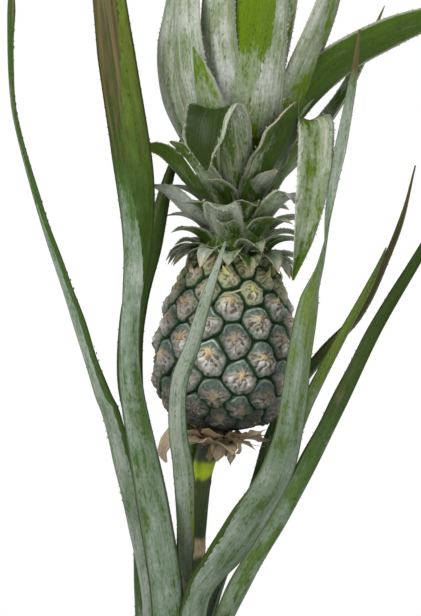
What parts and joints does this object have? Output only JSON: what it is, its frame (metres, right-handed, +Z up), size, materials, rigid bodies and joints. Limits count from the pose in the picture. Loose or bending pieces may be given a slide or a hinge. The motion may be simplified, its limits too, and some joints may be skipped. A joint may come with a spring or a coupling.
{
  "type": "pineapple plant",
  "caption": "Pineapple plant in fruit: a short stem with a rosette of long channelled leaves, and a leaning stalk that carries the fruit and its leafy crown.",
  "frame": {"origin": "middle of the flat cut under the stem, at ground level", "axes": "+Z up, +X to the plant's right as seen from the front, the side to which the fruit leans, +Y to the back"},
  "size_m": [1.035, 0.9944, 0.8718],
  "materials": {
    "stem": "matt, ringed with old leaf bases",
    "stalk": "satin green, tan where the bracts are dry",
    "fruit": "matt grey-green eyes with dark grooves",
    "leaf": "satin with a pale waxy bloom",
    "crown_leaf": "satin with a pale waxy bloom"
  },
  "bodies": {
    "root": {"stem": "stem", "stalk": "stalk", "fruit": "fruit", "crown_core": "crown_leaf", "crown_leaf_folded": "crown_leaf", "crown_leaf_front": "crown_leaf", "crown_leaf_front_left": "crown_leaf", "crown_leaf_front_short": "crown_leaf", "crown_leaf_left": "crown_leaf", "crown_leaf_left_arched": "crown_leaf", "crown_leaf_left_front": "crown_leaf", "crown_leaf_left_low": "crown_leaf", "crown_leaf_left_short": "crown_leaf", "crown_leaf_right": "crown_leaf", "crown_leaf_right_front": "crown_leaf", "crown_leaf_right_hanging": "crown_leaf", "crown_leaf_right_inner": "crown_leaf", "crown_leaf_right_short": "crown_leaf", "crown_leaf_rising_1": "crown_leaf", "crown_leaf_rising_2": "crown_leaf", "crown_leaf_rising_3": "crown_leaf", "crown_leaf_rising_4": "crown_leaf", "crown_leaf_rising_5": "crown_leaf", "crown_leaf_rising_6": "crown_leaf", "crown_leaf_rising_7": "crown_leaf", "leaf_back": "leaf", "leaf_back_left": "leaf", "leaf_back_right": "leaf", "leaf_left_back": "leaf", "leaf_left_far": "leaf", "leaf_left_front": "leaf", "leaf_low_1": "leaf", "leaf_low_10": "leaf", "leaf_low_11": "leaf", "leaf_low_12": "leaf", "leaf_low_2": "leaf", "leaf_low_3": "leaf", "leaf_low_4": "leaf", "leaf_low_5": "leaf", "leaf_low_6": "leaf", "leaf_low_7": "leaf", "leaf_low_8": "leaf", "leaf_low_9": "leaf", "leaf_right": "leaf", "leaf_right_back": "leaf", "leaf_right_front": "leaf", "leaf_right_inner": "leaf", "leaf_spreading_1": "leaf", "leaf_spreading_2": "leaf", "leaf_spreading_3": "leaf", "leaf_spreading_4": "leaf", "leaf_spreading_5": "leaf", "leaf_spreading_6": "leaf", "leaf_spreading_7": "leaf", "leaf_spreading_8": "leaf", "leaf_stalk_front": "leaf"}
  },
  "joints": []
}
